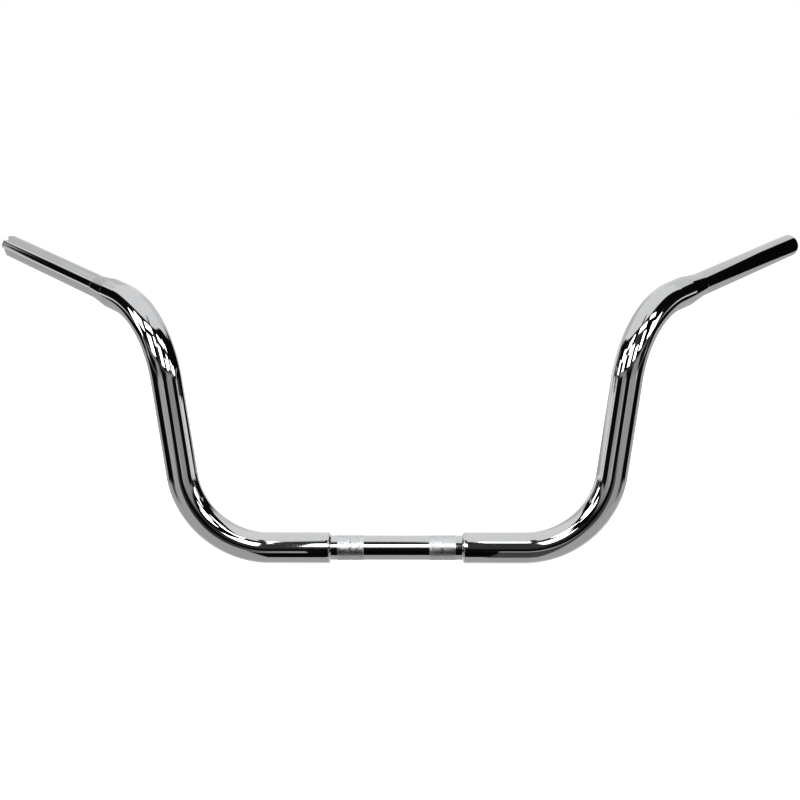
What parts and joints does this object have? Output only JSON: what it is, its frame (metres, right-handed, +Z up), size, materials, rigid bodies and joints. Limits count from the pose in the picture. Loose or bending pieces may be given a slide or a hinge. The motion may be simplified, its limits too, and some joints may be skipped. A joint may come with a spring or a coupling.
{
  "type": "motorcycle handlebar",
  "caption": "Chromed motorcycle handlebar with fat, twice-bent risers, a slim knurled clamp tube and slim control tubes swept outwards and back.",
  "frame": {"origin": "middle of the clamp tube, on its axis", "axes": "+X along the clamp tube to the rider's left, +Y rearward towards the rider, +Z up, with both legs in the XZ plane"},
  "size_m": [0.94, 0.2738, 0.3318],
  "materials": {
    "chrome": "mirror-polished chrome plate on steel tube",
    "knurled_chrome": "mirror-polished chrome with satin knurled bands",
    "neck_chrome": "mirror-polished chrome plate on a turned cone",
    "control_chrome": "mirror-polished chrome plate, thinner and duller inside the tube",
    "chromed_weld": "dressed weld under chrome plate, slightly uneven"
  },
  "bodies": {
    "root": {"clamp_tube": "knurled_chrome", "riser_tube_left": "chrome", "riser_tube_right": "chrome", "neck_reducer_left": "neck_chrome", "neck_reducer_right": "neck_chrome", "control_tube_left": "control_chrome", "control_tube_right": "control_chrome", "shoulder_weld_left": "chromed_weld", "shoulder_weld_right": "chromed_weld", "riser_weld_left": "chromed_weld", "riser_weld_right": "chromed_weld", "control_weld_left": "chromed_weld", "control_weld_right": "chromed_weld", "plug_welds_left": "chromed_weld", "plug_welds_right": "chromed_weld"}
  },
  "joints": []
}
